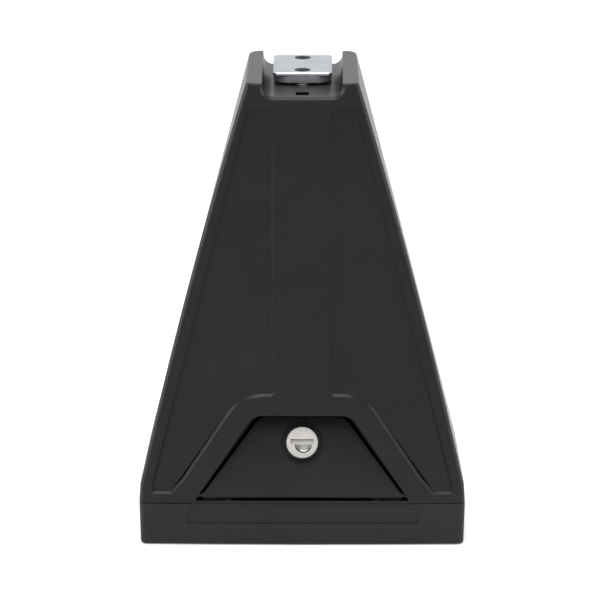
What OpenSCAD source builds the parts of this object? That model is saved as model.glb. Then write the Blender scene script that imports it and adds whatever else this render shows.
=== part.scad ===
// Roof bar foot: a tall moulded tower that stands on a vehicle roof and clamps one load bar.
// Millimetres. X runs across the tower, Y from front to rear, Z up from the roof.

/* [Tower] */
// Height from the roof to the tops of the two horns
tower_h = 212.2; // [205:0.5:225]
// Width across the seam above the skirt
base_w = 148; // [144:1:158]
// Depth across the seam above the skirt
base_d = 94; // [90:1:100]
// Width across the two horns
top_w = 50.8; // [48:0.2:56]
// Depth of the horns from front to rear
top_d = 66; // [63:1:72]
// Height of the upright band between the seam and the slope
band_h = 8.9; // [7:0.1:11]
// How far the upright band draws in on each side
band_draft = 0.5; // [0:0.1:1]
// Outward bow of the two flanks at mid height
flank_bow = 1.8; // [0:0.1:3]
// Bow of the front and rear faces over half the base width
face_bow = 1.2; // [0:0.1:2]
// How much narrower the rear is on each side at the base
rear_step_base = 3; // [1:0.5:4]
// How much narrower the rear is on each side at the horns
rear_step_top = 1; // [0.5:0.1:2]
// Wall of the moulded hood
wall = 3; // [2.4:0.1:3.6]
// Radius of the two upright front edges
front_edge_r = 3; // [2:0.5:4]
// Radius of the two upright rear edges
rear_edge_r = 5; // [3:0.5:6]

/* [Cradle] */
// Width of the channel that the load bar lies in
cradle_w = 36; // [35:0.5:38]
// Depth of the channel below the horn tops
cradle_depth = 6.2; // [5.5:0.1:7]
// Radius of the channel's bottom corners
cradle_r = 4.5; // [2:0.5:5]
// Thickness of the saddle below the channel
saddle_t = 4; // [3:0.2:5]
// Rounding of the horns' inner top edges
horn_edge_r = 0.9; // [0.5:0.1:2]
// Bevel along the front and rear ends of the channel
rim_bevel = 1.3; // [0.6:0.1:1.5]
// Side of the square hole in the channel floor
drain_w = 6; // [4:0.5:7]
// Distance of the square hole from the front of the channel
drain_back = 7.3; // [6:0.1:9]

/* [Front relief] */
// Half width of the flat raised band down the middle
spine_half_w = 12.7; // [10:0.1:15]
// Depth of the sunken side panels
relief_depth = 1.3; // [0.6:0.1:1.6]
// Width of the sloped border of a side panel
relief_slope_w = 1.5; // [0.8:0.1:2]
// Width of the raised edge outside a side panel, at the horns
relief_edge_top = 3.3; // [3:0.1:4.5]
// Width of the raised edge outside a side panel, at the kink
relief_edge_base = 5; // [4:0.1:6]
// Distance of the side panels from the horn tops
relief_drop = 11.5; // [9:0.5:14]
// Height of the panels' lower ends above the seam
relief_foot_h = 4.4; // [3:0.1:6]
// Height of the arch's crown above the seam
arch_h = 49.6; // [47:0.2:54]
// Half width of the arch at its shoulders
arch_shoulder_x = 27.4; // [25:0.2:30]
// Distance of the arch's knees from the tower's sides
arch_knee_in = 20.7; // [19:0.1:22]
// Height of the arch's knees above the seam
arch_knee_h = 10.7; // [9:0.1:12]
// Distance of the arch's feet from the tower's sides
arch_foot_in = 14.8; // [13:0.1:17]

/* [Window] */
// Height of the sill above the seam
sill_h = 2.1; // [1.8:0.1:2.6]
// Height of the window above the sill
window_h = 38.8; // [38.4:0.1:40]
// Distance of the window's lower corners from the tower's sides
window_foot_in = 25.3; // [24:0.1:26]
// Half width of the window at its top, before the corners are rounded
window_head_x = 22; // [21:0.1:24]
// Radius of the window's top corners
window_r = 7; // [4:0.5:8]
// Rounding of the window's front edge
window_edge_r = 0.7; // [0.3:0.1:1]
// Wall of the moulded reveal round the window
reveal_wall = 2.2; // [1.6:0.1:2.8]

/* [Door] */
// Lean of the closed door from upright
door_lean = 25; // [23:0.5:27]
// Length of the door from its hinge to its top edge
door_len = 36; // [35:0.1:36.2]
// Thickness of the door
door_t = 3; // [2.4:0.1:3]
// How much narrower the door is than the window on each side, at the hinge
door_foot_in = 3; // [2.7:0.1:3.7]
// How much narrower the door is than the window on each side, at its top
door_head_in = 2.4; // [1.6:0.1:3]
// Gap beside the closed door
door_side_gap = 0.5; // [0.4:0.1:0.8]
// Gap above the closed door, which its swing needs
door_top_gap = 1.1; // [1:0.1:1.5]
// Distance of the hinge axis behind the front face
hinge_back = 2.2; // [2.1:0.1:2.6]
// Diameter of the hinge rod
rod_d = 2; // [1.6:0.1:2.2]
// How far the hinge rod goes past the door on each side
rod_past = 6.3; // [5:0.1:7]

/* [Lock] */
// Distance of the lock's axis from the hinge, up the door
lock_up = 23.6; // [22:0.1:24.5]
// Diameter of the lock's bright face
lock_face_d = 14.9; // [13:0.1:15.5]
// Height of the lock's face above the door
lock_proud = 4.5; // [3:0.1:5]
// Diameter of the lock's plug
plug_d = 10; // [9:0.1:10.4]
// Wall of the sleeve round the plug
sleeve_wall = 1.6; // [1.3:0.1:1.8]
// Diameter of the round sink round the lock
sink_d = 19; // [18:0.2:20]
// Depth of the round sink
sink_depth = 1.6; // [1:0.1:1.8]
// Length of the lock behind the door
lock_back = 6.5; // [6:0.1:8]
// Reach of the cam from the lock's axis
cam_reach = 16.5; // [15.8:0.1:17.5]
// Width of the cam's arm
cam_w = 8; // [6:0.5:9]
// Thickness of the cam
cam_t = 2; // [1.5:0.1:2.5]

/* [Clamp] */
// Width of the clamp strip
strip_w = 26.7; // [25:0.1:27]
// Length of the clamp strip
strip_len = 35; // [33:0.5:36]
// Thickness of the clamp strip
strip_t = 1.65; // [1.2:0.05:2]
// Radius of the strip's corners
strip_r = 1.8; // [1:0.1:3]
// Thickness of the clamp block under the strip
block_t = 3.6; // [3:0.1:4]
// Radius of the block's corners
block_r = 7; // [5:0.5:9]
// Distance of the clamp strip's rear end from the rear of the horns
clamp_rear_gap = 9.5; // [8.5:0.5:11]
// Distance of the clamp bolts from the ends of the strip
clamp_bolt_in = 5.5; // [5:0.1:6.5]
// Diameter of the clamp bolts, the pitch diameter of their M8 thread
bolt_d = 7.2; // [6:0.1:8]
// Diameter of a clamp bolt's head
bolt_head_d = 13; // [12:0.5:13]
// Height of a clamp bolt's head
bolt_head_h = 8; // [6:0.5:8]
// Width across the flats of a clamp bolt's socket
bolt_socket_w = 6; // [5:0.5:6]
// Gap between the saddle and the clamp block
clamp_lift = 1; // [0.8:0.1:1.4]

/* [Base] */
// Height of the rubber skirt
skirt_h = 19.3; // [18:0.1:21]
// Thickness of the rubber skirt's wall
skirt_wall = 5.3; // [5:0.1:5.6]
// How far the skirt draws in towards the roof on each side
skirt_draft = 0.6; // [0:0.1:1]
// Thickness of the rubber floor
pad_floor = 3; // [2.5:0.1:4]
// Height of the lip that locates the hood
lip_h = 1.5; // [1:0.1:1.6]
// Depth of the sunken field on the skirt's front
field_depth = 0.6; // [0.3:0.1:1]
// Thickness of the steel base plate
plate_t = 4; // [3:0.5:5]
// Distance of the steel base plate's ends from the tower's sides
plate_side_gap = 10; // [9:0.5:10.5]
// Distance of the steel base plate's long edges from the tower's front and rear
plate_face_gap = 7; // [6:0.5:8]
// Distance of the roof bolt slots from the tower's sides
roof_bolt_in = 34; // [33:0.5:35]
// Width of a roof bolt slot
slot_w = 8.5; // [6.5:0.5:9]
// Length of a roof bolt slot
slot_len = 16; // [12:0.5:16.5]
// Width of the hole in the middle of the base
hatch_w = 36; // [30:1:40]
// Depth of the hole in the middle of the base
hatch_d = 50; // [40:1:56]

/* [Steel portal] */
// Thickness of the folded steel
portal_t = 5; // [4:0.2:5]
// Width of the folded steel strip
portal_w = 44; // [43:0.5:45]
// Half width of the portal at its top
portal_head_x = 20; // [18:0.5:21]
// Distance of the portal's legs from the tower's sides, above the feet
portal_foot_in = 20.5; // [20:0.1:20.5]
// Distance of the portal's feet from the tower's rear
portal_foot_gap = 20; // [19.5:0.1:21]
// Inner radius of the portal's folds
portal_r = 4; // [2:0.5:5]

/* [Fasteners] */
// Diameter of the screws that hold the portal's feet
foot_screw_d = 6; // [5:0.5:6]
// Width across the flats of their nuts
foot_nut_w = 10; // [8:0.5:10]
// Height of their nuts
foot_nut_h = 5; // [4:0.5:6]
// Place of the rear foot screws behind the middle, as a share of the base's depth
foot_screw_rear_share = 0.19; // [0.18:0.005:0.2]
// Place of the front foot screws in front of the middle, as a share of the base's depth
foot_screw_front_share = 0.085; // [0.08:0.005:0.09]
// Height of a foot screw's countersunk head
foot_head_h = 3; // [2.5:0.1:3.2]
// Diameter of the screws that hold the hood
shell_screw_d = 4; // [3.5:0.1:4.4]
// Diameter of the moulded bosses that they enter
boss_d = 9; // [8:0.5:9]
// Height of the bosses above the kink of the hood
boss_rise = 16; // [12:0.5:18]

/* [Fits] */
// Radial clearance of a turning fit
run_fit = 0.05; // [0.03:0.01:0.08]
// Radial clearance of a tight fit
tight_fit = 0.02; // [0.01:0.01:0.04]
// Radial clearance of a bolt in a plain hole
bolt_clearance = 0.3; // [0.2:0.1:0.5]
// Gap between flat faces that slide on each other
slide_gap = 0.1; // [0.05:0.05:0.2]
// Gap round a located or hidden edge
seat_gap = 0.3; // [0.2:0.1:0.4]

/* [Hidden] */
$fn = 64;

// Colours, as the photograph shows them
moulded_black = "#3b3a3d";
rubber_black = "#383634";
bright_zinc = "#c9c9c6";
dull_steel = "#8e8f91";
lock_silver = "#d2d0ca";

// Heights
left = -1;
right = 1;
front = -1;
rear = 1;
kink_z = skirt_h + band_h;
floor_z = tower_h - cradle_depth;
ceiling_z = floor_z - saddle_t;
plate_z = pad_floor;
plate_top_z = plate_z + plate_t;
lip_top_z = skirt_h + lip_h;
block_z = floor_z + clamp_lift;
strip_z = block_z + block_t;

// Small edges of the mouldings
over = 1;
mould_edge = 0.4;
min_edge_r = 0.6;
rear_step_mid = 1.6;
slope_rings = 10;
arc_step = 10;
horn_round = [[1.1, 0], [0.55, 0.15], [0.15, 0.55], [0, 1.1]];
skirt_round = [[0, 1.3], [0.17, 0.65], [0.65, 0.17], [1.3, 0]];

// Slope of the front and rear faces
face_lean = atan((base_d - top_d) / 2 / (tower_h - kink_z));

// Places that follow the width and depth of the base
arch_knee_x = base_w / 2 - arch_knee_in;
arch_foot_x = base_w / 2 - arch_foot_in;
window_foot_x = base_w / 2 - window_foot_in;
door_foot_x = window_foot_x - door_foot_in;
door_head_x = window_head_x - door_head_in;
rod_len = 2 * (door_foot_x + rod_past);
plate_w = base_w - 2 * plate_side_gap;
plate_d = base_d - 2 * plate_face_gap;
roof_bolt_gap = base_w - 2 * roof_bolt_in;
portal_foot_x = base_w / 2 - portal_foot_in;
clamp_back = top_d / 2 - strip_len / 2 - clamp_rear_gap;

// Place of the hinge, in the plane of the front face
hinge_r = door_t / 2;
hinge_y = -base_d / 2 + hinge_back;
hinge_z = skirt_h + sill_h + hinge_r + slide_gap;

function mix(a, b, t) = a + (b - a) * t;
function unit(v) = v / norm(v);
function rise(z) = max(0, (z - kink_z) / (tower_h - kink_z));
function swell(z) = 4 * rise(z) * (1 - rise(z));

// Half width of the front face at a height
function front_half(z) =
    z <= kink_z
        ? base_w / 2 - band_draft * max(0, z - skirt_h) / band_h
        : mix(base_w / 2 - band_draft, top_w / 2, rise(z)) + flank_bow * swell(z);

// Half width of the rear face at a height
function rear_half(z) =
    front_half(z) - mix(rear_step_base, rear_step_top, rise(z)) - rear_step_mid * swell(z);

// Half depth in the middle of a face at a height
function half_depth(z) = mix(base_d / 2, top_d / 2, rise(z));
function bow_at(x) = face_bow * pow(x / (base_w / 2), 2);

// Points of an arc, with its ends
function arc(centre, r, from, to, steps) = [
    for (i = [0:steps])
        let (a = mix(from, to, i / steps))
        centre + r * [cos(a), sin(a)]
];

// Points across a bowed face between its two corners, running towards +X
function bowed_edge(half_x, y, steps) = [
    for (i = [1:steps - 1])
        let (x = mix(-half_x, half_x, i / steps))
        [x, y + bow_at(x)]
];

// Plan of the tower at one height, counterclockwise, drawn in by an inset
function plan(front_x, rear_x, half_y, inset, steps) =
    let (fr = max(front_edge_r - inset, min_edge_r))
    let (rr = max(rear_edge_r - inset, min_edge_r))
    let (fx = front_x - inset - fr)
    let (rx = rear_x - inset - rr)
    let (fy = inset - half_y)
    let (ry = half_y - inset)
    [
        each bowed_edge(fx, fy, steps),
        each arc([fx, fy + bow_at(fx) + fr], fr, -90, 0, steps),
        each arc([rx, ry - bow_at(rx) - rr], rr, 0, 90, steps),
        each [for (p = bowed_edge(rx, -ry, steps)) [-p.x, -p.y]],
        each arc([-rx, ry - bow_at(rx) - rr], rr, 90, 180, steps),
        each arc([-fx, fy + bow_at(fx) + fr], fr, 180, 270, steps)
    ];
function at_height(points, z) = [for (p = points) [p.x, p.y, z]];
function tower_ring(z, inset, steps) =
    at_height(plan(front_half(z), rear_half(z), half_depth(z), inset, steps), z);
function skirt_ring(z, inset) =
    let (draft = skirt_draft * (1 - z / skirt_h))
    at_height(plan(front_half(skirt_h) - draft, rear_half(skirt_h) - draft, base_d / 2, inset, 5), z);

// Arc that rounds the corner b between its neighbours a and c
function corner(a, b, c, r) =
    r <= 0 ? [b] :
    let (u = unit(a - b))
    let (v = unit(c - b))
    let (half = acos(u * v) / 2)
    let (centre = b + unit(u + v) * r / sin(half))
    let (start = b + u * r / tan(half) - centre)
    let (stop = b + v * r / tan(half) - centre)
    let (from = atan2(start.y, start.x))
    let (turn = atan2(start.x * stop.y - start.y * stop.x, start * stop))
    let (steps = max(1, ceil(abs(turn) / arc_step)))
    arc(centre, r, from, from + turn, steps);

// Outline with each corner [x, y, radius] rounded
function rounded(corners) =
    let (n = len(corners))
    let (at = [for (c = corners) [c.x, c.y]])
    [for (i = [0:n - 1]) each corner(at[(i + n - 1) % n], at[i], at[(i + 1) % n], corners[i].z)];

// Rectangle about a centre, with round corners
function round_box(size, r, centre = [0, 0]) = rounded([
    for (s = [[-1, -1], [1, -1], [1, 1], [-1, 1]])
        [centre.x + s.x * size.x / 2, centre.y + s.y * size.y / 2, r]
]);

// Counterclockwise outline moved outwards by a distance
function widened(points, by) =
    let (n = len(points))
    [
        for (i = [0:n - 1])
            let (a = unit(points[i] - points[(i + n - 1) % n]))
            let (b = unit(points[(i + 1) % n] - points[i]))
            let (na = [a.y, -a.x])
            let (nb = [b.y, -b.x])
            points[i] + by * (na + nb) / (1 + na * nb)
    ];

// Solid through rings of equal count, each counterclockwise seen from above
module loft(rings) {
    n = len(rings[0]);
    last = len(rings) - 1;
    sides = [
        for (k = [0:last - 1])
            for (i = [0:n - 1])
                let (a = k * n + i)
                let (b = k * n + (i + 1) % n)
                each [[a, a + n, b + n], [a, b + n, b]]
    ];
    bottom = [for (i = [0:n - 1]) i];
    top = [for (i = [n - 1:-1:0]) last * n + i];
    polyhedron([for (r = rings) each r], [each sides, bottom, top]);
}

// Plate with its edges eased on both faces
module eased_plate(outline, t, edge) {
    inner = widened(outline, -edge);
    loft([
        at_height(inner, 0),
        at_height(outline, edge),
        at_height(outline, t - edge),
        at_height(inner, t)
    ]);
}

// Cutter with a rounded border: each pair is a share of the border's width and of the depth
soft_slope = [[1, 1], [0.93, 0.99], [0.84, 0.92], [0.16, 0.08], [0.07, 0.01], [0, 0]];
module sloped_cut(outline, depth, slope_w) {
    loft([
        each [for (p = soft_slope) at_height(widened(outline, -slope_w * p.x), -depth * p.y)],
        at_height(widened(outline, over / 2), over)
    ]);
}

// Frame in the sloping front face: X across, Y up the face, Z out of it
module on_face() {
    translate([0, -base_d / 2, kink_z]) rotate([90 - face_lean, 0, 0]) children();
}

// Frame of the closed door: X along the hinge, Y up the door, Z out of it
module on_door() {
    translate([0, hinge_y, hinge_z]) rotate([90 - door_lean, 0, 0]) children();
}

// Height in the sloping face of a height above the roof
function up_face(z) = (z - kink_z) / cos(face_lean);

function in_face(corners) = [for (c = corners) [c.x, up_face(c.y), c.z]];

// Outlines in the front face, as [half width, height, radius]
window_z = skirt_h + sill_h;
window_outline = rounded(in_face([
    [-window_foot_x, window_z, 0],
    [window_foot_x, window_z, 0],
    [window_head_x, window_z + window_h, window_r],
    [-window_head_x, window_z + window_h, window_r]
]));
arch_r = 18;
knee_r = 10;
panel_r = 1.5;
function panel_edge(z) =
    mix(base_w / 2 - band_draft, top_w / 2, rise(z)) - mix(relief_edge_base, relief_edge_top, rise(z));
relief_top_z = tower_h - relief_drop;
relief_foot_z = skirt_h + relief_foot_h;
arch_z = skirt_h + arch_h;
front_panel = rounded(in_face([
    [arch_foot_x, relief_foot_z, 0],
    [panel_edge(relief_foot_z), relief_foot_z, 0],
    [panel_edge(kink_z), kink_z, 0],
    [panel_edge(relief_top_z), relief_top_z, panel_r],
    [spine_half_w, relief_top_z, panel_r],
    [spine_half_w, arch_z, panel_r],
    [arch_shoulder_x, arch_z, arch_r],
    [arch_knee_x, skirt_h + arch_knee_h, knee_r]
]));
rear_panel_z = kink_z + relief_edge_base;
function rear_panel_edge(z) = panel_edge(z) - mix(rear_step_base, rear_step_top, rise(z));
rear_panel = rounded(in_face([
    [spine_half_w, rear_panel_z, panel_r],
    [rear_panel_edge(rear_panel_z), rear_panel_z, panel_r],
    [rear_panel_edge(relief_top_z), relief_top_z, panel_r],
    [spine_half_w, relief_top_z, panel_r]
]));

// Opening in the plane of the door, a little larger than the door
door_foot_y = -hinge_r - seat_gap;
door_slope = (door_foot_x - door_head_x) / door_len;
opening_head_y = door_len + door_top_gap;
opening_outline = rounded([
    [-door_foot_x - door_side_gap - door_slope * hinge_r, door_foot_y, 0],
    [door_foot_x + door_side_gap + door_slope * hinge_r, door_foot_y, 0],
    [door_head_x + door_side_gap, opening_head_y, window_r - over],
    [-door_head_x - door_side_gap, opening_head_y, window_r - over]
]);

// Hood parts that the cavity leaves standing
ear_z = lip_top_z + mould_edge;
ear_x = door_foot_x + door_side_gap + over;
ear_w = rod_len / 2 - ear_x + over;
ear_d = 4.6;
ear_h = 5.4;
strike_w = 16;
strike_h = 4;
strike_reach = hinge_r + lock_back - slide_gap;
boss_x = plate_w / 2 - boss_d / 2 - 2 * seat_gap;
boss_y = plate_d / 2 - boss_d / 2 - over - mould_edge;
boss_top_z = kink_z + boss_rise;
rib_t = 2;
rib_depth = 5;
rear_rib_top = 150;
front_rib_foot = 78;

// Clamp and its bolts
clamp_bolt_gap = strip_len - 2 * clamp_bolt_in;
bolt_y = [clamp_back - clamp_bolt_gap / 2, clamp_back + clamp_bolt_gap / 2];
bolt_hole_d = bolt_d + 2 * bolt_clearance;
ring_lap = 0.4;
ring_d = bolt_hole_d + 2 * ring_lap;
washer_t = 1.6;
washer_d = 15;
portal_top_z = ceiling_z;
portal_under_z = portal_top_z - portal_t;
bolt_head_top = portal_under_z - washer_t - slide_gap;
bolt_tip_z = strip_z + 0.6;

// Foot of the portal
foot_top_z = plate_top_z + portal_t;
foot_tip_x = plate_w / 2;
foot_screw_x = foot_tip_x - foot_nut_w / 2;
portal_foot_rear = base_d / 2 - portal_foot_gap;
foot_screw_y = [-base_d * foot_screw_front_share, base_d * foot_screw_rear_share];

// Moulded hood: one hollow piece with its window, horns, channel and sunken panels
module tower_solid(inset, steps) {
    levels = [
        [skirt_h, mould_edge],
        [skirt_h + mould_edge, 0],
        [kink_z, 0],
        each [for (i = [1:slope_rings]) [mix(kink_z, tower_h - horn_round[0][0], i / slope_rings), 0]],
        each [for (r = [1:len(horn_round) - 1]) [tower_h - horn_round[r][0], horn_round[r][1]]]
    ];
    loft([for (l = levels) tower_ring(l[0], l[1] + inset, steps)]);
}

module tower_cavity() {
    levels = [
        skirt_h - over,
        skirt_h,
        kink_z,
        each [for (i = [1:slope_rings]) mix(kink_z, ceiling_z, i / slope_rings)]
    ];
    loft([for (z = levels) tower_ring(z, wall, 3)]);
}

// Moulded pocket from the window back to the plane of the door
module reveal_block() {
    hull() {
        on_face() linear_extrude(mould_edge) polygon(widened(window_outline, reveal_wall));
        on_door() translate([0, 0, -hinge_r - over])
            linear_extrude(mould_edge) polygon(widened(opening_outline, reveal_wall));
    }
}

module reveal_cut() {
    hull() {
        on_face() linear_extrude(wall) polygon(window_outline);
        on_door() translate([0, 0, -hinge_r - 2 * over])
            linear_extrude(hinge_r) polygon(opening_outline);
    }
    on_face() window_edge();
}

// Rounded front edge of the window, above its sill
window_round = [for (a = [20:arc_step:90]) window_edge_r * [1 - cos(a), sin(a) - 1]];
window_edge_outline = rounded(in_face([
    [-window_foot_x, window_z + window_edge_r, 0],
    [window_foot_x, window_z + window_edge_r, 0],
    [window_head_x, window_z + window_h, window_r],
    [-window_head_x, window_z + window_h, window_r]
]));

module window_edge() {
    loft([
        at_height(widened(window_edge_outline, -mould_edge), -window_edge_r),
        each [for (r = window_round) at_height(widened(window_edge_outline, r.x), r.y)],
        at_height(widened(window_edge_outline, window_edge_r), over)
    ]);
}

module hinge_ears() {
    for (s = [left, right])
        translate([s * (ear_x + ear_w / 2), hinge_y + over, ear_z + ear_h / 2])
            cube([ear_w, ear_d, ear_h], center = true);
}

module strike() {
    on_door() translate([-strike_w / 2, opening_head_y, -strike_reach])
        cube([strike_w, strike_h, strike_reach]);
}

module boss_ribs() {
    for (sx = [left, right], sy = [front, rear])
        translate([sx * boss_x, sy * boss_y, ear_z]) {
            translate([min(0, sx * boss_d * 2), -rib_t / 2, 0])
                cube([boss_d * 2, rib_t, boss_top_z - ear_z]);
            translate([-rib_t / 2, min(0, sy * boss_d * 2), 0])
                cube([rib_t, boss_d * 2, boss_top_z - ear_z]);
        }
}

module wall_ribs() {
    for (s = [left, right])
        translate([s * spine_half_w - rib_t / 2, 0, 0]) {
            translate([0, half_depth(rear_rib_top) - wall - rib_depth, kink_z])
                cube([rib_t, base_d / 2, rear_rib_top - kink_z]);
            translate([0, -base_d, front_rib_foot])
                cube([rib_t, base_d - half_depth(front_rib_foot) + wall + rib_depth, tower_h - front_rib_foot]);
        }
}

module cradle_cut() {
    half = cradle_w / 2;
    far = top_w;
    high = tower_h + 3 * over;
    lip = tower_h + mould_edge / 8;
    translate([0, base_d, 0]) rotate([90, 0, 0])
        linear_extrude(2 * base_d)
            polygon(rounded([
                [-half, floor_z, cradle_r],
                [half, floor_z, cradle_r],
                [half, lip, horn_edge_r],
                [far, lip, 0],
                [far, high, 0],
                [-far, high, 0],
                [-far, lip, 0],
                [-half, lip, horn_edge_r]
            ]));
}

// Bevel that runs down the horns and round the bottom of the channel, at both its ends
rim_inside = 0.1;
function channel_outline(depth) =
    let (half = cradle_w / 2)
    let (foot = up_face(floor_z) + depth * tan(face_lean))
    let (head = up_face(tower_h) + 2 * cradle_depth)
    rounded([[-half, foot, cradle_r], [half, foot, cradle_r], [half, head, 0], [-half, head, 0]]);

module channel_rims() {
    for (s = [0, 1])
        mirror([0, s, 0])
            on_face() loft([
                at_height(widened(channel_outline(rim_bevel), -rim_inside), -rim_bevel - rim_inside),
                at_height(widened(channel_outline(-over), rim_bevel + over), over)
            ]);
}

module front_panels() {
    turn = atan((bow_at(arch_foot_x) - bow_at(spine_half_w)) / (arch_foot_x - spine_half_w));
    for (s = [0, 1])
        mirror([s, 0, 0])
            on_face() translate([0, 0, -bow_at(spine_half_w)]) rotate([0, turn, 0])
                sloped_cut(front_panel, relief_depth, relief_slope_w);
}

module rear_panels() {
    turn = atan((bow_at(arch_foot_x) - bow_at(spine_half_w)) / (arch_foot_x - spine_half_w));
    for (s = [0, 1])
        mirror([s, 0, 0])
            rotate([0, 0, 180]) mirror([1, 0, 0])
                on_face() translate([0, 0, -bow_at(spine_half_w)]) rotate([0, turn, 0])
                    sloped_cut(rear_panel, relief_depth, relief_slope_w);
}

module shell_bosses() {
    for (sx = [left, right], sy = [front, rear])
        translate([sx * boss_x, sy * boss_y, plate_top_z])
            cylinder(h = boss_top_z - plate_top_z, d = boss_d);
}

shell_pilot_depth = 18;

module tower_shell() {
    color(moulded_black)
    difference() {
        union() {
            difference() {
                tower_solid(0, 8);
                difference() {
                    tower_cavity();
                    reveal_block();
                    hinge_ears();
                    strike();
                    boss_ribs();
                    wall_ribs();
                }
                cradle_cut();
            }
            shell_bosses();
        }
        reveal_cut();
        channel_rims();
        front_panels();
        rear_panels();
        translate([-rod_len / 2, hinge_y, hinge_z]) rotate([0, 90, 0])
            cylinder(h = rod_len, d = rod_d + 2 * tight_fit);
        for (y = bolt_y)
            translate([0, y, ceiling_z - over])
                cylinder(h = saddle_t + 2 * over, d = bolt_hole_d);
        translate([-drain_w / 2, drain_back - half_depth(floor_z) - drain_w / 2, ceiling_z - over])
            cube([drain_w, drain_w, saddle_t + 2 * over]);
        for (sx = [left, right], sy = [front, rear])
            translate([sx * boss_x, sy * boss_y, plate_top_z - over])
                cylinder(h = shell_pilot_depth + over, d = shell_screw_d + 2 * tight_fit);
    }
}

// Rubber tray under the tower, with its skirt and locating lip
screw_head_d = 8;
screw_head_h = 2.2;

module base_pad() {
    color(rubber_black)
    difference() {
        union() {
            loft([
                each [for (e = skirt_round) skirt_ring(e[0], e[1])],
                skirt_ring(skirt_h - mould_edge, 0),
                skirt_ring(skirt_h, mould_edge)
            ]);
            loft([
                tower_ring(skirt_h - over, wall + seat_gap, 5),
                tower_ring(lip_top_z - mould_edge, wall + seat_gap, 5),
                tower_ring(lip_top_z, wall + seat_gap + mould_edge, 5)
            ]);
        }
        loft([for (z = [pad_floor, lip_top_z + over]) tower_ring(z, skirt_wall, 3)]);
        skirt_field();
        lip_gap();
        base_holes(pad_floor + over);
        for (sx = [left, right], sy = [front, rear])
            translate([sx * boss_x, sy * boss_y, -over])
                cylinder(h = pad_floor + 2 * over, d = screw_head_d + 2 * bolt_clearance);
    }
}

// Gap in the lip, where the window's pocket comes down behind the hood's front
module lip_gap() {
    gap_x = window_foot_x + reveal_wall + seat_gap;
    translate([-gap_x, -base_d / 2, skirt_h])
        cube([2 * gap_x, skirt_wall + over, lip_h + over]);
}

// Sunken field across the skirt's front, which follows the bow of the face
field_head_in = 24;
field_foot_in = 20.2;
field_foot_z = 10;

module skirt_field() {
    difference() {
        translate([0, 1 - base_d / 2 - over, 0]) rotate([90, 0, 0]) translate([0, 0, -2 * over])
            linear_extrude(4 * over)
                polygon(rounded([
                    [field_foot_in - base_w / 2, field_foot_z, 2],
                    [base_w / 2 - field_foot_in, field_foot_z, 2],
                    [base_w / 2 - field_head_in, skirt_h + over, 0],
                    [field_head_in - base_w / 2, skirt_h + over, 0]
                ]));
        loft([skirt_ring(0, field_depth), skirt_ring(skirt_h + 2 * over, field_depth)]);
    }
}

// Roof bolt slots and the hatch, through the rubber floor and the steel plate
module base_holes(depth) {
    translate([0, 0, -over]) linear_extrude(depth + over) {
        for (s = [left, right])
            translate([s * roof_bolt_gap / 2, 0]) {
                square([slot_len - slot_w, slot_w], center = true);
                for (e = [left, right])
                    translate([e * (slot_len - slot_w) / 2, 0]) circle(d = slot_w);
            }
        polygon(round_box([hatch_w, hatch_d], 4));
    }
}

module base_plate() {
    loose = 4 * run_fit;
    color(dull_steel)
    difference() {
        translate([0, 0, plate_z])
            linear_extrude(plate_t) polygon(round_box([plate_w, plate_d], 4));
        base_holes(plate_top_z + over);
        for (sx = [left, right]) {
            for (sy = [front, rear])
                translate([sx * boss_x, sy * boss_y, 0])
                    cylinder(h = plate_top_z + over, d = shell_screw_d + 2 * bolt_clearance);
            for (y = foot_screw_y)
                translate([sx * foot_screw_x, y, 0]) {
                    cylinder(h = plate_top_z + over, d = foot_screw_d + 2 * run_fit);
                    translate([0, 0, plate_z - over])
                        cylinder(
                            h = foot_head_h + over,
                            d1 = foot_screw_d + 2 * (foot_head_h + over) + loose,
                            d2 = foot_screw_d + loose
                        );
                }
        }
    }
}

// Folded steel strip that carries the load from the saddle to the base plate
function portal_x(z) = mix(portal_foot_x, portal_head_x, (z - foot_top_z) / (portal_top_z - foot_top_z));
portal_lean = atan((portal_foot_x - portal_head_x) / (portal_top_z - foot_top_z));
function portal_inner_x(z) = portal_x(z) - portal_t / cos(portal_lean);

module portal_frame() {
    outer_r = portal_r + portal_t;
    half = [
        [foot_tip_x, plate_top_z, 0],
        [foot_tip_x, foot_top_z, 0],
        [portal_x(foot_top_z), foot_top_z, over / 2],
        [portal_x(portal_top_z), portal_top_z, outer_r]
    ];
    inner = [
        [portal_inner_x(portal_under_z), portal_under_z, portal_r],
        [portal_inner_x(plate_top_z), plate_top_z, portal_r]
    ];
    color(dull_steel)
    difference() {
        translate([0, clamp_back + portal_w / 2, 0]) rotate([90, 0, 0])
            linear_extrude(portal_w)
                polygon(rounded([
                    each half,
                    each [for (i = [3:-1:0]) [-half[i].x, half[i].y, half[i].z]],
                    [-inner[1].x, inner[1].y, inner[1].z],
                    [-inner[0].x, inner[0].y, inner[0].z],
                    each inner
                ]));
        for (sx = [0, 1])
            mirror([sx, 0, 0]) foot_corner();
        for (y = bolt_y)
            translate([0, y, portal_under_z - over])
                cylinder(h = portal_t + 2 * over, d = bolt_hole_d);
        for (sx = [left, right], y = foot_screw_y)
            translate([sx * foot_screw_x, y, plate_top_z - over])
                cylinder(h = portal_t + 2 * over, d = foot_screw_d + 2 * run_fit);
    }
}

// Cut that sets a foot's rear edge back from the boss behind it
module foot_corner() {
    translate([portal_foot_x + over / 2, portal_foot_rear, plate_top_z - over])
        cube([foot_tip_x, base_d / 2, portal_t + 2 * over]);
}

module hinge_rod() {
    chamfer = 0.3;
    color(dull_steel)
    translate([-rod_len / 2, hinge_y, hinge_z]) rotate([0, 90, 0])
        rotate_extrude() polygon([
            [0, 0],
            [rod_d / 2 - chamfer, 0],
            [rod_d / 2, chamfer],
            [rod_d / 2, rod_len - chamfer],
            [rod_d / 2 - chamfer, rod_len],
            [0, rod_len]
        ]);
}

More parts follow.
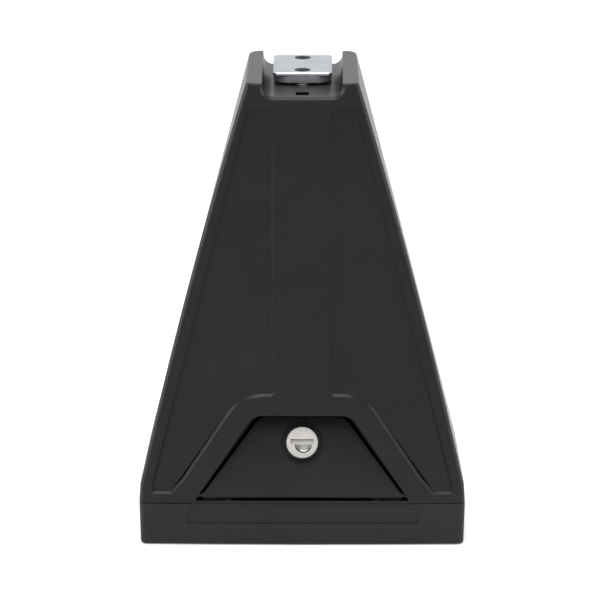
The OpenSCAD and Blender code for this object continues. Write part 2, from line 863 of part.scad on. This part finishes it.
module flat_washer(t, outer_d, inner_d) {
    difference() {
        cylinder(h = t, d = outer_d);
        translate([0, 0, -over]) cylinder(h = t + 2 * over, d = inner_d);
    }
}

module bolt_washer(which) {
    color(dull_steel)
    translate([0, bolt_y[which], portal_under_z - washer_t])
        flat_washer(washer_t, washer_d, bolt_d + 2 * bolt_clearance);
}

module shell_screw(sx, sy) {
    shank = plate_t + shell_pilot_depth - over;
    socket_w = 2.5;
    socket_h = 1.3;
    color(dull_steel)
    translate([sx * boss_x, sy * boss_y, plate_z])
        difference() {
            union() {
                cylinder(h = shank, d = shell_screw_d);
                translate([0, 0, -screw_head_h]) cylinder(h = screw_head_h, d = screw_head_d);
            }
            translate([0, 0, -screw_head_h - over])
                cylinder(h = socket_h + over, d = socket_w, $fn = 6);
        }
}

module foot_screw(sx, which) {
    color(dull_steel)
    translate([sx * foot_screw_x, foot_screw_y[which], plate_z]) {
        cylinder(h = foot_head_h, d1 = foot_screw_d + 2 * foot_head_h, d2 = foot_screw_d);
        cylinder(h = plate_t + portal_t + foot_nut_h + over, d = foot_screw_d);
    }
}

module hex_nut(across, h, hole_d) {
    difference() {
        intersection() {
            rotate([0, 0, 30]) cylinder(h = h, d = across / cos(30), $fn = 6);
            cylinder(h = h, d1 = across * 1.05 + h, d2 = across * 1.05);
        }
        translate([0, 0, -over]) cylinder(h = h + 2 * over, d = hole_d);
    }
}

module foot_nut(sx, which) {
    color(bright_zinc)
    translate([sx * foot_screw_x, foot_screw_y[which], foot_top_z])
        hex_nut(foot_nut_w, foot_nut_h, foot_screw_d + 2 * tight_fit);
}

// Lockable door that leans back in its pocket and turns down on the hinge rod
door_edge = 0.5;
barrel_d = sink_d - 2 * sleeve_wall;
sleeve_d = plug_d + 2 * run_fit + 2 * sleeve_wall;
sink_floor = hinge_r - sink_depth;
flange_t = 1.2;
face_foot = sink_floor + flange_t + slide_gap;
lock_rear = -hinge_r - lock_back;

module door() {
    rib_h = 3.5;
    color(moulded_black)
    on_door() difference() {
        union() {
            translate([0, 0, -hinge_r])
                eased_plate(rounded([
                    [-door_foot_x, 0, 0],
                    [door_foot_x, 0, 0],
                    [door_head_x, door_len, window_r - over],
                    [-door_head_x, door_len, window_r - over]
                ]), door_t, door_edge);
            translate([-door_foot_x + door_edge, 0, 0]) rotate([0, 90, 0])
                cylinder(h = 2 * (door_foot_x - door_edge), r = hinge_r);
            translate([0, lock_up, lock_rear]) cylinder(h = lock_back + hinge_r, d = barrel_d);
            for (s = [left, right])
                translate([s * lock_face_d - rib_t / 2, hinge_r + over, -hinge_r - rib_h])
                    cube([rib_t, lock_up, rib_h + over]);
        }
        translate([0, lock_up, sink_floor]) cylinder(h = door_t, d = sink_d);
        translate([0, lock_up, lock_rear - over])
            cylinder(h = lock_back + door_t + over, d = sleeve_d + 2 * tight_fit);
        translate([-door_foot_x - over, 0, 0]) rotate([0, 90, 0])
            cylinder(h = 2 * (door_foot_x + over), d = rod_d + 2 * run_fit);
    }
}

module lock_housing() {
    flange_d = sleeve_d + 1.4;
    color(rubber_black)
    on_door() translate([0, lock_up, 0]) difference() {
        union() {
            translate([0, 0, lock_rear]) cylinder(h = sink_floor - lock_rear, d = sleeve_d);
            translate([0, 0, sink_floor]) cylinder(h = flange_t, d = flange_d);
        }
        translate([0, 0, lock_rear - over])
            cylinder(h = sink_floor - lock_rear + flange_t + 2 * over, d = plug_d + 2 * run_fit);
    }
}

// Silver lock core: domed face with its key slot, plug, square and threaded end
tang_w = 6;
stub_d = 5;
cam_rear = lock_rear - slide_gap - cam_t;
cam_nut_w = 8;
cam_nut_h = 3.8;
key_slot_w = 10.6;
key_slot_h = 2.5;
key_slot_depth = 2.6;
key_well_r = 3.85;
key_well_depth = 1.2;
index_x = 1.8;
index_y = 4.9;

module lock_core() {
    face_r = lock_face_d / 2;
    face_top = hinge_r + lock_proud;
    face_round = 0.9;
    color(lock_silver)
    on_door() translate([0, lock_up, 0]) difference() {
        union() {
            translate([0, 0, face_foot])
                rotate_extrude() polygon(rounded([
                    [0, 0, 0],
                    [face_r, 0, mould_edge],
                    [face_r, face_top - face_foot, face_round],
                    [0, face_top - face_foot + mould_edge, 0]
                ]));
            translate([0, 0, lock_rear - slide_gap])
                cylinder(h = face_foot - lock_rear + over, d = plug_d);
            translate([-tang_w / 2, -tang_w / 2, cam_rear]) cube([tang_w, tang_w, cam_t + over]);
            translate([0, 0, cam_rear - cam_nut_h - over / 2])
                cylinder(h = cam_nut_h + over, d = stub_d);
        }
        translate([0, 0, face_top + over - key_slot_depth / 2])
            cube([key_slot_w, key_slot_h, key_slot_depth + 2 * over], center = true);
        intersection() {
            translate([over / 2, -key_slot_h / 2, face_top - key_well_depth])
                cylinder(h = 2 * over + key_well_depth, r = key_well_r);
            translate([-lock_face_d / 2, -lock_face_d, face_top - 2 * key_well_depth])
                cube([lock_face_d, lock_face_d, 2 * lock_face_d]);
        }
        translate([index_x, index_y, face_top - mould_edge])
            cylinder(h = 2 * over, r = mould_edge);
    }
}

module lock_cam() {
    hub_r = 5.5;
    color(bright_zinc)
    on_door() translate([0, lock_up, cam_rear]) linear_extrude(cam_t) difference() {
        union() {
            circle(r = hub_r);
            translate([0, -cam_w / 2]) square([cam_reach - cam_w / 2, cam_w]);
            translate([cam_reach - cam_w / 2, 0]) circle(d = cam_w);
        }
        square(tang_w + 2 * run_fit, center = true);
    }
}

module cam_nut() {
    color(bright_zinc)
    on_door() translate([0, lock_up, cam_rear]) mirror([0, 0, 1])
        hex_nut(cam_nut_w, cam_nut_h, stub_d + 2 * tight_fit);
}

// Bright strip and dull block that grip the load bar's channel
module clamp_strip() {
    strip_edge = 0.35;
    color(bright_zinc)
    difference() {
        translate([0, clamp_back, strip_z])
            eased_plate(round_box([strip_w, strip_len], strip_r), strip_t, strip_edge);
        for (y = bolt_y)
            translate([0, y, strip_z - over])
                cylinder(h = strip_t + 2 * over, d = bolt_d + 2 * run_fit);
    }
}

module clamp_block() {
    block_edge = 0.5;
    color(dull_steel)
    difference() {
        translate([0, clamp_back, block_z])
            eased_plate(round_box([strip_w - mould_edge, strip_len - mould_edge], block_r), block_t, block_edge);
        for (y = bolt_y)
            translate([0, y, block_z - over])
                cylinder(h = block_t + 2 * over, d = bolt_d + 2 * run_fit);
    }
}

module clamp_bolt(which) {
    socket_depth = 4.5;
    head_edge = 0.6;
    head_r = bolt_head_d / 2;
    color(dull_steel)
    translate([0, bolt_y[which], bolt_head_top]) difference() {
        union() {
            translate([0, 0, -bolt_head_h])
                rotate_extrude() polygon([
                    [0, 0],
                    [head_r - head_edge, 0],
                    [head_r, head_edge],
                    [head_r, bolt_head_h],
                    [0, bolt_head_h]
                ]);
            cylinder(h = bolt_tip_z - bolt_head_top, d = bolt_d);
        }
        translate([0, 0, -bolt_head_h - over])
            cylinder(h = socket_depth + over, d = bolt_socket_w / cos(30), $fn = 6);
    }
}

module retaining_washer(which) {
    color(dull_steel)
    translate([0, bolt_y[which], floor_z + slide_gap])
        flat_washer(clamp_lift - 2 * slide_gap, ring_d, bolt_d + 2 * tight_fit);
}

tower_shell();
base_pad();
base_plate();
portal_frame();
hinge_rod();
bolt_washer(0);  // bolt_washer_front
bolt_washer(1);  // bolt_washer_rear
shell_screw(left, front);  // shell_screw_front_left
shell_screw(right, front);  // shell_screw_front_right
shell_screw(left, rear);  // shell_screw_rear_left
shell_screw(right, rear);  // shell_screw_rear_right
foot_screw(left, 0);  // foot_screw_front_left
foot_screw(right, 0);  // foot_screw_front_right
foot_screw(left, 1);  // foot_screw_rear_left
foot_screw(right, 1);  // foot_screw_rear_right
foot_nut(left, 0);  // foot_nut_front_left
foot_nut(right, 0);  // foot_nut_front_right
foot_nut(left, 1);  // foot_nut_rear_left
foot_nut(right, 1);  // foot_nut_rear_right
door();
lock_housing();
lock_core();
lock_cam();
cam_nut();
clamp_strip();
clamp_block();
clamp_bolt(0);  // clamp_bolt_front
clamp_bolt(1);  // clamp_bolt_rear
retaining_washer(0);  // retaining_washer_front
retaining_washer(1);  // retaining_washer_rear
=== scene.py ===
import math

import bmesh
import bpy
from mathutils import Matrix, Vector


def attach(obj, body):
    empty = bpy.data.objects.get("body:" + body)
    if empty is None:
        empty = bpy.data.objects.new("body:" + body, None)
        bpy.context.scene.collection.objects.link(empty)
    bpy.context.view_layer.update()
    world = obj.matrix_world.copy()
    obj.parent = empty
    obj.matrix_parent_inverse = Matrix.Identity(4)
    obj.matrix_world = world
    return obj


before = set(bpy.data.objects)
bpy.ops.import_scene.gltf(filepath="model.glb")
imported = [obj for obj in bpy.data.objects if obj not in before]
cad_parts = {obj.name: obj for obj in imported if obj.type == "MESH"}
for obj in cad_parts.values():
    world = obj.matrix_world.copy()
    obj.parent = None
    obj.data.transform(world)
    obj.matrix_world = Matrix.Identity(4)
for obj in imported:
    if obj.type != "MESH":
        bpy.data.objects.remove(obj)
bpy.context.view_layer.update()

# The tower is one injection moulding in black plastic with a fine satin grain.
# Its edges are rounded in the mould, and its faces carry a faint unevenness of sheen.
def node_group(name, inputs, outputs):
    """An empty shader group with its named sockets, each input with its usual value."""
    group = bpy.data.node_groups.new(name, "ShaderNodeTree")
    for socket, kind, value in inputs:
        made = group.interface.new_socket(socket, in_out="INPUT", socket_type=kind)
        if value is not None:
            made.default_value = value
    for socket, kind in outputs:
        group.interface.new_socket(socket, in_out="OUTPUT", socket_type=kind)
    return group, group.nodes.new("NodeGroupInput"), group.nodes.new("NodeGroupOutput")


def noise(tree, vector, scale, detail=2.0, roughness=0.5):
    """A noise texture in real metres."""
    node = tree.nodes.new("ShaderNodeTexNoise")
    node.inputs["Scale"].default_value = scale
    node.inputs["Detail"].default_value = detail
    node.inputs["Roughness"].default_value = roughness
    tree.links.new(vector, node.inputs["Vector"])
    return node.outputs["Fac"]


def spread(tree, value, low, high):
    """Stretches a mask so that low becomes 0 and high becomes 1."""
    node = tree.nodes.new("ShaderNodeMapRange")
    tree.links.new(value, node.inputs["Value"])
    node.inputs["From Min"].default_value = low
    node.inputs["From Max"].default_value = high
    return node.outputs["Result"]


def sum_of(tree, a, b, operation="ADD"):
    """Two values put together by a sum, a product or another plain operation."""
    node = tree.nodes.new("ShaderNodeMath")
    node.operation = operation
    for socket, value in zip(node.inputs, (a, b)):
        if isinstance(value, bpy.types.NodeSocket):
            tree.links.new(value, socket)
        else:
            socket.default_value = value
    return node.outputs[0]


def moulded_grain_group():
    """Grain, sheen and dust of a moulded plastic face; faces that look up are lighter, with settled dust
    and with painted top light.
    """
    group, source, out = node_group(
        "moulded grain",
        [("Colour", "NodeSocketColor", (0.03, 0.03, 0.03, 1)),
         ("Dust And Top Light Colour", "NodeSocketColor", (0.08, 0.08, 0.08, 1)),
         ("Dust", "NodeSocketFloat", 0.3),
         ("Roughness", "NodeSocketFloat", 0.45),
         ("Grain Size", "NodeSocketFloat", 2200.0),
         ("Grain Depth", "NodeSocketFloat", 0.00002)],
        [("Colour", "NodeSocketColor"), ("Roughness", "NodeSocketFloat"), ("Normal", "NodeSocketVector")])
    where = group.nodes.new("ShaderNodeTexCoord").outputs["Object"]
    patches = noise(group, where, 22, 4, 0.6)
    fine = group.nodes.new("ShaderNodeTexNoise")
    fine.inputs["Detail"].default_value = 3
    group.links.new(where, fine.inputs["Vector"])
    group.links.new(source.outputs["Grain Size"], fine.inputs["Scale"])
    specks = spread(group, noise(group, where, 900, 2, 0.7), 0.66, 0.8)
    cloud = spread(group, patches, 0.35, 0.75)
    facing = group.nodes.new("ShaderNodeSeparateXYZ")
    group.links.new(group.nodes.new("ShaderNodeNewGeometry").outputs["Normal"], facing.inputs["Vector"])
    # Faces that look up take the lighter tint: settled dust, and also painted light from above.
    lying = spread(group, facing.outputs["Z"], 0.8, 1.0)
    settled_dust_and_top_light = sum_of(group, sum_of(group, cloud, 0.5), lying, "MULTIPLY")
    speckled = sum_of(group, cloud, specks)
    dust_and_top_light_mask = sum_of(group, speckled, source.outputs["Dust"], "MULTIPLY")
    dust_and_top_light_mask = sum_of(group, dust_and_top_light_mask, settled_dust_and_top_light)
    tint = group.nodes.new("ShaderNodeMix")
    tint.data_type = "RGBA"
    group.links.new(dust_and_top_light_mask, tint.inputs["Factor"])
    group.links.new(source.outputs["Colour"], tint.inputs["A"])
    group.links.new(source.outputs["Dust And Top Light Colour"], tint.inputs["B"])
    group.links.new(tint.outputs["Result"], out.inputs["Colour"])
    sheen = sum_of(group, sum_of(group, patches, -0.5), 0.12, "MULTIPLY")
    pores = sum_of(group, sum_of(group, fine.outputs["Fac"], -0.5), 0.1, "MULTIPLY")
    rough = sum_of(group, sum_of(group, source.outputs["Roughness"], sheen), pores)
    group.links.new(rough, out.inputs["Roughness"])
    bump = group.nodes.new("ShaderNodeBump")
    group.links.new(fine.outputs["Fac"], bump.inputs["Height"])
    group.links.new(source.outputs["Grain Depth"], bump.inputs["Distance"])
    group.links.new(bump.outputs["Normal"], out.inputs["Normal"])
    return group


MOULDED_GRAIN = moulded_grain_group()


def grained(name, colour, dust_and_top_light_colour, dust, roughness, grain_size, grain_depth, specular=0.5):
    """A moulded plastic or rubber with its own colour, sheen and grain."""
    material = bpy.data.materials.new(name)
    material.use_nodes = True
    tree = material.node_tree
    surface = tree.nodes["Principled BSDF"]
    surface.inputs["Specular IOR Level"].default_value = specular
    grain = tree.nodes.new("ShaderNodeGroup")
    grain.node_tree = MOULDED_GRAIN
    grain.inputs["Colour"].default_value = (*colour, 1)
    grain.inputs["Dust And Top Light Colour"].default_value = (*dust_and_top_light_colour, 1)
    grain.inputs["Dust"].default_value = dust
    grain.inputs["Roughness"].default_value = roughness
    grain.inputs["Grain Size"].default_value = grain_size
    grain.inputs["Grain Depth"].default_value = grain_depth
    tree.links.new(grain.outputs["Colour"], surface.inputs["Base Color"])
    tree.links.new(grain.outputs["Roughness"], surface.inputs["Roughness"])
    tree.links.new(grain.outputs["Normal"], surface.inputs["Normal"])
    return material


def dress(names, material):
    """Gives CAD nodes their material and smooth shading."""
    for name in names:
        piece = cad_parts[name]
        piece.data.materials.clear()
        piece.data.materials.append(material)
        soften(piece)


def soften(piece):
    """Joins the facets of one face and weights the normals by area."""
    weld = piece.modifiers.new("weld", "WELD")
    weld.merge_threshold = 0.00001
    smooth = piece.modifiers.new("smooth", "NODES")
    smooth.node_group = SMOOTH_BY_ANGLE
    weighted = piece.modifiers.new("weighted", "WEIGHTED_NORMAL")
    weighted.keep_sharp = True


def smooth_by_angle_group(limit):
    """A geometry group that shades a mesh smooth, apart from its sharp edges."""
    group = bpy.data.node_groups.new("smooth by angle", "GeometryNodeTree")
    group.interface.new_socket("Geometry", in_out="INPUT", socket_type="NodeSocketGeometry")
    group.interface.new_socket("Geometry", in_out="OUTPUT", socket_type="NodeSocketGeometry")
    source = group.nodes.new("NodeGroupInput")
    out = group.nodes.new("NodeGroupOutput")
    angle = group.nodes.new("GeometryNodeInputMeshEdgeAngle")
    compare = group.nodes.new("FunctionNodeCompare")
    compare.data_type = "FLOAT"
    compare.operation = "LESS_EQUAL"
    compare.inputs["B"].default_value = limit
    group.links.new(angle.outputs["Unsigned Angle"], compare.inputs["A"])
    faces = group.nodes.new("GeometryNodeSetShadeSmooth")
    faces.domain = "FACE"
    edges = group.nodes.new("GeometryNodeSetShadeSmooth")
    edges.domain = "EDGE"
    group.links.new(source.outputs["Geometry"], faces.inputs["Geometry"])
    group.links.new(faces.outputs["Geometry"], edges.inputs["Geometry"])
    group.links.new(compare.outputs["Result"], edges.inputs["Shade Smooth"])
    group.links.new(edges.outputs["Geometry"], out.inputs["Geometry"])
    return group


SMOOTH_BY_ANGLE = smooth_by_angle_group(math.radians(32))

# Its upward faces take the lighter tint, which is partly dust and partly painted top light.
tower_plastic = grained(
    "tower plastic", (0.0078, 0.0073, 0.0100), (0.040, 0.039, 0.043),
    dust=0.16, roughness=0.32, grain_size=2600, grain_depth=0.000012, specular=0.22)
dress(["tower_shell"], tower_plastic)

# The skirt is soft rubber, moulded to the plan of the tower, and stands on the roof.
# It is a little warmer and duller than the tower.
skirt_rubber = grained(
    "skirt rubber", (0.0132, 0.0116, 0.0128), (0.028, 0.026, 0.026),
    dust=0.4, roughness=0.46, grain_size=1800, grain_depth=0.00002, specular=0.26)
dress(["base_pad"], skirt_rubber)

# The door is a flat moulding that leans back in the window and turns on a steel rod.
# The lock's sleeve is pressed into it.
door_plastic = grained(
    "door plastic", (0.0095, 0.0080, 0.0102), (0.024, 0.022, 0.025),
    dust=0.3, roughness=0.38, grain_size=2600, grain_depth=0.000012, specular=0.21)
dress(["door"], door_plastic)
sleeve_plastic = grained(
    "sleeve plastic", (0.012, 0.012, 0.012), (0.03, 0.03, 0.03),
    dust=0.3, roughness=0.5, grain_size=3000, grain_depth=0.00001)
dress(["lock_housing"], sleeve_plastic)


# The lock core is nickel plated zinc, and the key slot and its well are cut into its face.
# Its face has a soft satin finish with fine marks from keys.
def brushed_metal_group():
    """Fine scratches along one direction, with darker patches."""
    group, source, out = node_group(
        "brushed metal",
        [("Colour", "NodeSocketColor", (0.6, 0.6, 0.6, 1)),
         ("Stain Colour", "NodeSocketColor", (0.3, 0.3, 0.3, 1)),
         ("Stain", "NodeSocketFloat", 0.3),
         ("Roughness", "NodeSocketFloat", 0.3),
         ("Stretch", "NodeSocketVector", (1.0, 0.04, 1.0)),
         ("Scratch Size", "NodeSocketFloat", 2500.0),
         ("Scratch Depth", "NodeSocketFloat", 0.00001)],
        [("Colour", "NodeSocketColor"), ("Roughness", "NodeSocketFloat"), ("Normal", "NodeSocketVector")])
    where = group.nodes.new("ShaderNodeTexCoord").outputs["Object"]
    along = group.nodes.new("ShaderNodeVectorMath")
    along.operation = "MULTIPLY"
    group.links.new(where, along.inputs[0])
    group.links.new(source.outputs["Stretch"], along.inputs[1])
    lines = group.nodes.new("ShaderNodeTexNoise")
    lines.inputs["Detail"].default_value = 4
    group.links.new(along.outputs["Vector"], lines.inputs["Vector"])
    group.links.new(source.outputs["Scratch Size"], lines.inputs["Scale"])
    patches = spread(group, noise(group, where, 90, 5, 0.6), 0.45, 0.75)
    stain_mask = sum_of(group, patches, source.outputs["Stain"], "MULTIPLY")
    tint = group.nodes.new("ShaderNodeMix")
    tint.data_type = "RGBA"
    group.links.new(stain_mask, tint.inputs["Factor"])
    group.links.new(source.outputs["Colour"], tint.inputs["A"])
    group.links.new(source.outputs["Stain Colour"], tint.inputs["B"])
    group.links.new(tint.outputs["Result"], out.inputs["Colour"])
    rub = sum_of(group, sum_of(group, lines.outputs["Fac"], -0.5), 0.25, "MULTIPLY")
    dull = sum_of(group, stain_mask, 0.2, "MULTIPLY")
    rough = sum_of(group, sum_of(group, source.outputs["Roughness"], rub), dull)
    group.links.new(rough, out.inputs["Roughness"])
    bump = group.nodes.new("ShaderNodeBump")
    group.links.new(lines.outputs["Fac"], bump.inputs["Height"])
    group.links.new(source.outputs["Scratch Depth"], bump.inputs["Distance"])
    group.links.new(bump.outputs["Normal"], out.inputs["Normal"])
    return group


BRUSHED_METAL = brushed_metal_group()


def brushed(name, colour, stain_colour, stain, roughness, stretch, scratch_size, scratch_depth):
    """A bare or plated metal with scratches and stains."""
    material = bpy.data.materials.new(name)
    material.use_nodes = True
    tree = material.node_tree
    surface = tree.nodes["Principled BSDF"]
    surface.inputs["Metallic"].default_value = 1.0
    finish = tree.nodes.new("ShaderNodeGroup")
    finish.node_tree = BRUSHED_METAL
    finish.inputs["Colour"].default_value = (*colour, 1)
    finish.inputs["Stain Colour"].default_value = (*stain_colour, 1)
    finish.inputs["Stain"].default_value = stain
    finish.inputs["Roughness"].default_value = roughness
    finish.inputs["Stretch"].default_value = stretch
    finish.inputs["Scratch Size"].default_value = scratch_size
    finish.inputs["Scratch Depth"].default_value = scratch_depth
    tree.links.new(finish.outputs["Colour"], surface.inputs["Base Color"])
    tree.links.new(finish.outputs["Roughness"], surface.inputs["Roughness"])
    tree.links.new(finish.outputs["Normal"], surface.inputs["Normal"])
    return material


lock_nickel = brushed(
    "lock nickel", (0.485, 0.472, 0.452), (0.35, 0.335, 0.32),
    stain=0.3, roughness=0.38, stretch=(1, 1, 1), scratch_size=1500, scratch_depth=0.000006)
dress(["lock_core"], lock_nickel)

# The key dish is a small pressed steel bowl, set in the well under the key slot.
# It guides the key. Its dark colour and dark stains are painted shade of the well. It turns with the lock.
dark_painted_dish_steel = brushed(
    "dish steel painted dark", (0.22, 0.22, 0.215), (0.07, 0.07, 0.065),
    stain=0.9, roughness=0.22, stretch=(1, 1, 1), scratch_size=1500, scratch_depth=0.000006)


def key_dish():
    """Half a bowl in the lock's face, cut straight along the lower edge of the key slot."""
    door_lean = math.radians(25)
    axis_foot = Vector((0, -0.034826, 0.044389))
    outward = Vector((0, -math.cos(door_lean), math.sin(door_lean)))
    upward = Vector((0, math.sin(door_lean), math.cos(door_lean)))
    middle_x, slot_edge = 0.0005, -0.00126
    rim_height, foot_height = 0.00631, 0.00515
    radius, depth = 0.00382, 0.00108
    rings, spokes = 14, 48

    dish = bmesh.new()

    def place(reach, turn, height):
        x = middle_x + reach * math.cos(turn)
        up = slot_edge + reach * math.sin(turn)
        return dish.verts.new(axis_foot + Vector((x, 0, 0)) + upward * up + outward * height)

    def layer(height_at):
        middle = place(0, 0, height_at(0))
        arcs = [
            [place(radius * ring / rings, math.pi * (1 + spoke / spokes), height_at(ring / rings))
             for spoke in range(spokes + 1)]
            for ring in range(1, rings + 1)]
        for spoke in range(spokes):
            dish.faces.new((middle, arcs[0][spoke], arcs[0][spoke + 1]))
            for inner, outer in zip(arcs, arcs[1:]):
                dish.faces.new((inner[spoke], outer[spoke], outer[spoke + 1], inner[spoke + 1]))
        return arcs[-1] + [arc[-1] for arc in arcs[-2::-1]] + [middle] + [arc[0] for arc in arcs[:-1]]

    bowl_edge = layer(lambda share: rim_height - depth * math.sqrt(1 - share * share))
    foot_edge = layer(lambda share: foot_height)
    for i, corner in enumerate(bowl_edge):
        after = (i + 1) % len(bowl_edge)
        dish.faces.new((corner, bowl_edge[after], foot_edge[after], foot_edge[i]))
    bmesh.ops.recalc_face_normals(dish, faces=dish.faces)
    mesh = bpy.data.meshes.new("key_dish")
    dish.to_mesh(mesh)
    dish.free()
    mesh.materials.append(dark_painted_dish_steel)
    piece = bpy.data.objects.new("key_dish", mesh)
    bpy.context.scene.collection.objects.link(piece)
    soften(piece)
    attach(piece, "lock")


key_dish()

# The clamp strip is bright plated steel, rubbed along its length.
# It lies on a block with a dull, rough plating.
strip_steel = brushed(
    "strip steel", (0.475, 0.498, 0.54), (0.36, 0.37, 0.39),
    stain=0.45, roughness=0.26, stretch=(0.05, 1, 1), scratch_size=2400, scratch_depth=0.00001)
dress(["clamp_strip"], strip_steel)
block_steel = brushed(
    "block steel", (0.30, 0.305, 0.32), (0.17, 0.17, 0.17),
    stain=0.8, roughness=0.5, stretch=(1, 1, 1), scratch_size=1100, scratch_depth=0.0002)
dress(["clamp_block"], block_steel)

# The hidden steel is zinc plated: plate, washers, screws, nuts and cam.
# The hinge rod and the clamp bolts are blackened, and the portal has a black powder coat.
zinc_plate = brushed(
    "zinc plate", (0.5, 0.51, 0.52), (0.36, 0.35, 0.33),
    stain=0.5, roughness=0.38, stretch=(1, 1, 0.3), scratch_size=900, scratch_depth=0.00002)
dress(
    ["base_plate", "lock_cam", "cam_nut", "bolt_washer_front", "bolt_washer_rear",
     "retaining_washer_front", "retaining_washer_rear"]
    + [f"{kind}_{place}" for kind in ("shell_screw", "foot_screw", "foot_nut")
       for place in ("front_left", "front_right", "rear_left", "rear_right")],
    zinc_plate)
rod_steel = brushed(
    "blackened steel", (0.035, 0.035, 0.037), (0.015, 0.015, 0.015),
    stain=0.5, roughness=0.5, stretch=(0.1, 1, 1), scratch_size=1500, scratch_depth=0.00001)
dress(["hinge_rod", "clamp_bolt_front", "clamp_bolt_rear"], rod_steel)
powder_coat = grained(
    "powder coat", (0.03, 0.03, 0.032), (0.09, 0.09, 0.09),
    dust=0.4, roughness=0.5, grain_size=1500, grain_depth=0.00004)
dress(["portal_frame"], powder_coat)


# The studio has a white floor, a white room, and soft boxes at both sides, above and in front.
# The floor and room are white to the camera and in metal, and light the object less than that.
def seen_directly(tree):
    """1 for a ray of the camera, or one that metal or glass sends on, and 0 for all others."""
    path = tree.nodes.new("ShaderNodeLightPath")
    mirrored = sum_of(tree, path.outputs["Is Glossy Ray"], path.outputs["Is Transmission Ray"], "MAXIMUM")
    return sum_of(tree, path.outputs["Is Camera Ray"], mirrored, "MAXIMUM")


def stage_floor():
    """A wide floor, white to the camera, which still keeps the object's shadow."""
    half = 6.0
    glow, dark_reach, glow_reach = 0.35, 0.040, 0.047
    mesh = bpy.data.meshes.new("floor")
    level = -0.0002
    mesh.from_pydata(
        [(-half, -half, level), (half, -half, level), (half, half, level), (-half, half, level)],
        [], [(0, 1, 2, 3)])
    floor = bpy.data.objects.new("floor", mesh)
    bpy.context.scene.collection.objects.link(floor)
    material = bpy.data.materials.new("floor")
    material.use_nodes = True
    surface = material.node_tree.nodes["Principled BSDF"]
    surface.inputs["Base Color"].default_value = (0.9, 0.9, 0.9, 1)
    surface.inputs["Roughness"].default_value = 0.9
    surface.inputs["Specular IOR Level"].default_value = 0.1
    surface.inputs["Emission Color"].default_value = (1, 1, 1, 1)
    lift = material.node_tree.nodes.new("ShaderNodeMath")
    lift.operation = "MULTIPLY"
    where = material.node_tree.nodes.new("ShaderNodeTexCoord").outputs["Object"]
    away = material.node_tree.nodes.new("ShaderNodeVectorMath")
    away.operation = "LENGTH"
    material.node_tree.links.new(where, away.inputs[0])
    outside = spread(material.node_tree, away.outputs["Value"], dark_reach, glow_reach)
    outside = sum_of(material.node_tree, outside, glow, "MULTIPLY")
    material.node_tree.links.new(outside, lift.inputs[1])
    material.node_tree.links.new(seen_directly(material.node_tree), lift.inputs[0])
    material.node_tree.links.new(lift.outputs[0], surface.inputs["Emission Strength"])
    tree = material.node_tree
    from_below = tree.nodes.new("ShaderNodeMixShader")
    tree.links.new(tree.nodes.new("ShaderNodeNewGeometry").outputs["Backfacing"], from_below.inputs["Fac"])
    tree.links.new(surface.outputs["BSDF"], from_below.inputs[1])
    tree.links.new(tree.nodes.new("ShaderNodeBsdfTransparent").outputs["BSDF"], from_below.inputs[2])
    tree.links.new(from_below.outputs["Shader"], tree.nodes["Material Output"].inputs["Surface"])
    mesh.materials.append(material)


stage_floor()


def soft_box(name, place, size, power):
    """A rectangular lamp that faces the middle of the tower."""
    data = bpy.data.lights.new(name, "AREA")
    data.shape = "RECTANGLE"
    data.size, data.size_y = size
    data.energy = power
    lamp = bpy.data.objects.new(name, data)
    lamp.location = place
    lamp.rotation_mode = "QUATERNION"
    lamp.rotation_quaternion = (Vector((0, 0, 0.1)) - Vector(place)).to_track_quat("-Z", "Y")
    bpy.context.scene.collection.objects.link(lamp)
    return lamp


soft_box("left box", (-1.5, -0.1, 0.5), (0.8, 1.4), 14)
soft_box("right box", (1.5, -0.1, 0.5), (0.8, 1.4), 10)
soft_box("top box", (-0.1, -0.38, 1.6), (1.1, 0.8), 13)
soft_box("front box", (-0.2, -1.5, 1.5), (1.2, 0.8), 3)

world = bpy.data.worlds.new("room")
bpy.context.scene.world = world
world.use_nodes = True
world_tree = world.node_tree
background = world_tree.nodes["Background"]
background.inputs["Color"].default_value = (1, 1, 1, 1)
direction = world_tree.nodes.new("ShaderNodeTexCoord").outputs["Generated"]
across = world_tree.nodes.new("ShaderNodeSeparateXYZ")
world_tree.links.new(direction, across.inputs["Vector"])
backwards = world_tree.nodes.new("ShaderNodeMapRange")
backwards.interpolation_type = "SMOOTHSTEP"
backwards.inputs["From Min"].default_value = -0.9
backwards.inputs["From Max"].default_value = -0.1
backwards.inputs["To Min"].default_value = 0.05
backwards.inputs["To Max"].default_value = 0.72
world_tree.links.new(across.outputs["Y"], backwards.inputs["Value"])
strength = sum_of(world_tree, seen_directly(world_tree), backwards.outputs["Result"], "MAXIMUM")
world_tree.links.new(strength, background.inputs["Strength"])

# The camera stands straight in front of the door and looks down by about 15 degrees.
# It is far away with a long lens, as in a product photograph.
view_distance = 3.5
view_elevation = math.radians(15.1)
view_azimuth = math.radians(0.3)
view_target = Vector((-0.0012, 0.0, 0.1027))
view_lens = 459.5

camera_data = bpy.data.cameras.new("camera")
camera_data.lens = view_lens
camera_data.sensor_width = 36
camera_data.clip_end = 20
camera = bpy.data.objects.new("camera", camera_data)
bpy.context.scene.collection.objects.link(camera)
view_back = Vector((
    math.sin(view_azimuth) * math.cos(view_elevation),
    -math.cos(view_azimuth) * math.cos(view_elevation),
    math.sin(view_elevation)))
camera.location = view_target + view_back * view_distance
camera.rotation_mode = "QUATERNION"
camera.rotation_quaternion = (-view_back).to_track_quat("-Z", "Y")
bpy.context.scene.camera = camera
bpy.context.scene.view_settings.view_transform = "Standard"
